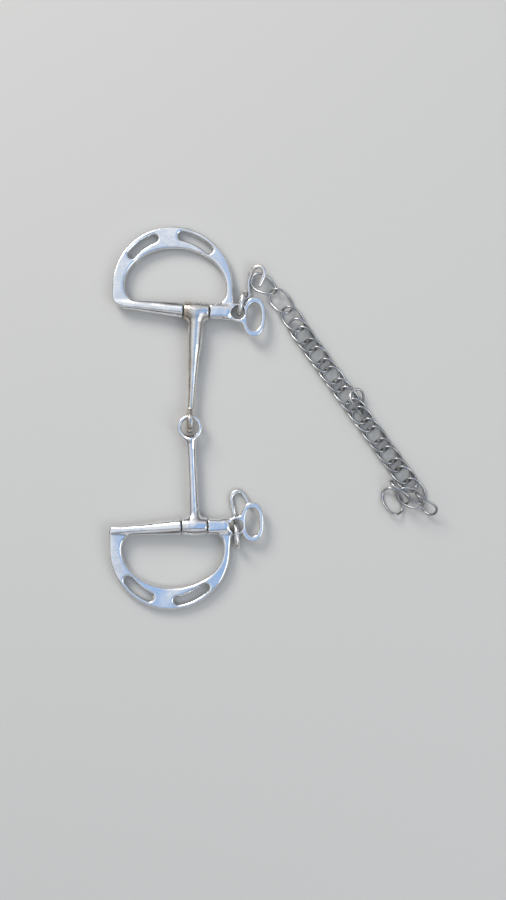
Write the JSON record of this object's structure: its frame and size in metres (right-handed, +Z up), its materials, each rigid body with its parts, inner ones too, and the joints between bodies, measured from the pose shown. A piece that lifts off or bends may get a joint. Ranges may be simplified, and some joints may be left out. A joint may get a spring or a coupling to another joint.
{
  "type": "slotted curb bit",
  "caption": "Jointed slotted D-cheek curb bit with swivelling cheeks, two wire curb hooks and a double-linked twisted curb chain with fly link.",
  "frame": {"origin": "middle of the underside of the box round the bit as it lies flat, on the surface it lies on", "axes": "+Z up from that surface, +Y along the mouthpiece towards the upper cheek, +X from the mouthpiece towards the laid-out curb chain"},
  "size_m": [0.2124, 0.2488, 0.0151],
  "materials": {
    "polished_steel": "polished cast stainless steel, lightly worn",
    "pin_steel": "plain turned steel",
    "hook_steel": "polished stainless wire",
    "chain_steel": "dull, slightly tarnished stainless wire"
  },
  "bodies": {
    "mouth_upper": {"mouth_upper": "polished_steel"},
    "cheek_upper": {"cheek_upper": "polished_steel", "swivel_pin_upper": "pin_steel"},
    "mouth_lower": {"mouth_lower": "polished_steel"},
    "cheek_lower": {"cheek_lower": "polished_steel", "swivel_pin_lower": "pin_steel"},
    "curb_hook_upper": {"curb_hook_upper": "hook_steel"},
    "curb_hook_lower": {"curb_hook_lower": "hook_steel"},
    "chain_ring_01": {"chain_ring_01": "chain_steel"},
    "chain_ring_02": {"chain_ring_02": "chain_steel"},
    "chain_ring_03": {"chain_ring_03": "chain_steel"},
    "chain_ring_04": {"chain_ring_04": "chain_steel"},
    "chain_ring_05": {"chain_ring_05": "chain_steel"},
    "chain_ring_06": {"chain_ring_06": "chain_steel"},
    "chain_ring_07": {"chain_ring_07": "chain_steel"},
    "chain_ring_08": {"chain_ring_08": "chain_steel"},
    "chain_ring_09": {"chain_ring_09": "chain_steel"},
    "chain_ring_10": {"chain_ring_10": "chain_steel"},
    "chain_ring_11": {"chain_ring_11": "chain_steel"},
    "chain_ring_12": {"chain_ring_12": "chain_steel"},
    "chain_ring_13": {"chain_ring_13": "chain_steel"},
    "chain_ring_14": {"chain_ring_14": "chain_steel"},
    "chain_ring_15": {"chain_ring_15": "chain_steel"},
    "chain_ring_16": {"chain_ring_16": "chain_steel"},
    "chain_ring_17": {"chain_ring_17": "chain_steel"},
    "chain_ring_18": {"chain_ring_18": "chain_steel"},
    "chain_ring_19": {"chain_ring_19": "chain_steel"},
    "chain_ring_20": {"chain_ring_20": "chain_steel"},
    "chain_ring_21": {"chain_ring_21": "chain_steel"},
    "chain_ring_22": {"chain_ring_22": "chain_steel"},
    "chain_ring_23": {"chain_ring_23": "chain_steel"},
    "chain_ring_24": {"chain_ring_24": "chain_steel"},
    "fly_link": {"fly_link": "chain_steel"}
  },
  "joints": [
    {"name": "mouth_fold", "type": "hinge", "parent": "mouth_upper", "child": "mouth_lower", "pos_m": [-0.05364, -0.00213, 0.0076], "axis": [-1, 0, 0], "range_deg": [-90, 90]},
    {"name": "cheek_swivel_upper", "type": "hinge", "parent": "mouth_upper", "child": "cheek_upper", "pos_m": [-0.04952, 0.06915, 0.0062], "axis": [0.9991, -0.0419, 0], "range_deg": [-120, 120]},
    {"name": "cheek_swivel_lower", "type": "hinge", "parent": "mouth_lower", "child": "cheek_lower", "pos_m": [-0.05073, -0.06967, 0.0062], "axis": [1, 0.007, 0], "range_deg": [-120, 120]},
    {"name": "hook_swing_upper", "type": "hinge", "parent": "cheek_upper", "child": "curb_hook_upper", "pos_m": [-0.02085, 0.07255, 0.0059], "axis": [0.9991, -0.0419, 0], "range_deg": [-30, 60]},
    {"name": "hook_swing_lower", "type": "hinge", "parent": "cheek_lower", "child": "curb_hook_lower", "pos_m": [-0.0222, -0.07407, 0.0059], "axis": [-1, -0.007, 0], "range_deg": [-3, 75]},
    {"name": "ring_01_swing", "type": "hinge", "parent": "curb_hook_upper", "child": "chain_ring_01", "pos_m": [-0.00774, 0.08977, 0.0043], "axis": [0, 0, 1], "range_deg": [0, 10]},
    {"name": "ring_02_swing", "type": "hinge", "parent": "chain_ring_01", "child": "chain_ring_02", "pos_m": [-0.00034, 0.08117, 0.0038], "axis": [0.498, 0.7969, -0.342], "range_deg": [-8, 8]},
    {"name": "ring_03_swing", "type": "hinge", "parent": "chain_ring_02", "child": "chain_ring_03", "pos_m": [0.00901, 0.07017, 0.0032], "axis": [0, 0, 1], "range_deg": [-10, 10]},
    {"name": "ring_04_swing", "type": "hinge", "parent": "chain_ring_03", "child": "chain_ring_04", "pos_m": [0.01536, 0.06033, 0.0031], "axis": [0.766, 0.6428, 0], "range_deg": [-8, 8]},
    {"name": "ring_05_swing", "type": "hinge", "parent": "chain_ring_04", "child": "chain_ring_05", "pos_m": [0.01962, 0.0537, 0.003], "axis": [0, 0, 1], "range_deg": [-10, 10]},
    {"name": "ring_06_swing", "type": "hinge", "parent": "chain_ring_05", "child": "chain_ring_06", "pos_m": [0.02425, 0.04723, 0.003], "axis": [0.8131, 0.5821, 0], "range_deg": [-8, 8]},
    {"name": "ring_07_swing", "type": "hinge", "parent": "chain_ring_06", "child": "chain_ring_07", "pos_m": [0.02888, 0.04077, 0.003], "axis": [0, 0, 1], "range_deg": [-10, 10]},
    {"name": "ring_08_swing", "type": "hinge", "parent": "chain_ring_07", "child": "chain_ring_08", "pos_m": [0.03351, 0.0343, 0.003], "axis": [0.8131, 0.5821, 0], "range_deg": [-8, 8]},
    {"name": "ring_09_swing", "type": "hinge", "parent": "chain_ring_08", "child": "chain_ring_09", "pos_m": [0.03813, 0.02784, 0.003], "axis": [0, 0, 1], "range_deg": [-10, 10]},
    {"name": "ring_10_swing", "type": "hinge", "parent": "chain_ring_09", "child": "chain_ring_10", "pos_m": [0.04276, 0.02138, 0.003], "axis": [0.8131, 0.5821, 0], "range_deg": [-8, 8]},
    {"name": "ring_11_swing", "type": "hinge", "parent": "chain_ring_10", "child": "chain_ring_11", "pos_m": [0.04739, 0.01491, 0.003], "axis": [0, 0, 1], "range_deg": [-10, 10]},
    {"name": "ring_12_swing", "type": "hinge", "parent": "chain_ring_11", "child": "chain_ring_12", "pos_m": [0.05202, 0.00845, 0.003], "axis": [0.8131, 0.5821, 0], "range_deg": [-8, 8]},
    {"name": "ring_13_swing", "type": "hinge", "parent": "chain_ring_12", "child": "chain_ring_13", "pos_m": [0.05665, 0.00198, 0.003], "axis": [0, 0, 1], "range_deg": [-10, 10]},
    {"name": "ring_14_swing", "type": "hinge", "parent": "chain_ring_13", "child": "chain_ring_14", "pos_m": [0.06127, -0.00448, 0.003], "axis": [0.8131, 0.5821, 0], "range_deg": [-8, 8]},
    {"name": "ring_15_swing", "type": "hinge", "parent": "chain_ring_14", "child": "chain_ring_15", "pos_m": [0.0659, -0.01095, 0.003], "axis": [0, 0, 1], "range_deg": [-10, 10]},
    {"name": "ring_16_swing", "type": "hinge", "parent": "chain_ring_15", "child": "chain_ring_16", "pos_m": [0.07053, -0.01741, 0.003], "axis": [0.8131, 0.5821, 0], "range_deg": [-8, 8]},
    {"name": "ring_17_swing", "type": "hinge", "parent": "chain_ring_16", "child": "chain_ring_17", "pos_m": [0.07516, -0.02387, 0.003], "axis": [0, 0, 1], "range_deg": [-10, 10]},
    {"name": "ring_18_swing", "type": "hinge", "parent": "chain_ring_17", "child": "chain_ring_18", "pos_m": [0.07979, -0.03034, 0.003], "axis": [0.8131, 0.5821, 0], "range_deg": [-8, 8]},
    {"name": "ring_19_swing", "type": "hinge", "parent": "chain_ring_18", "child": "chain_ring_19", "pos_m": [0.08441, -0.0368, 0.003], "axis": [0, 0, 1], "range_deg": [-3, 8]},
    {"name": "ring_20_swing", "type": "hinge", "parent": "chain_ring_19", "child": "chain_ring_20", "pos_m": [0.08904, -0.04327, 0.003], "axis": [0.8131, 0.5821, 0], "range_deg": [-2, 6]},
    {"name": "ring_21_swing", "type": "hinge", "parent": "chain_ring_20", "child": "chain_ring_21", "pos_m": [0.09498, -0.05108, 0.00485], "axis": [0, 0, 1], "range_deg": [-1, 3]},
    {"name": "ring_22_swing", "type": "hinge", "parent": "chain_ring_21", "child": "chain_ring_22", "pos_m": [0.09356, -0.05323, 0.00765], "axis": [0.2501, 0.2333, 0.9397], "range_deg": [-1, 2]},
    {"name": "ring_23_swing", "type": "hinge", "parent": "chain_ring_22", "child": "chain_ring_23", "pos_m": [0.08506, -0.04963, 0.00765], "axis": [0, 0, 1], "range_deg": [-1, 2]},
    {"name": "ring_24_swing", "type": "hinge", "parent": "chain_ring_23", "child": "chain_ring_24", "pos_m": [0.07946, -0.05083, 0.00485], "axis": [0.2094, 0.1521, 0.9659], "range_deg": [-1, 3]},
    {"name": "fly_link_swing", "type": "hinge", "parent": "chain_ring_12", "child": "fly_link", "pos_m": [0.05552, 0.00918, 0.0045], "axis": [0.5821, -0.8131, 0], "range_deg": [-10, 8]}
  ]
}
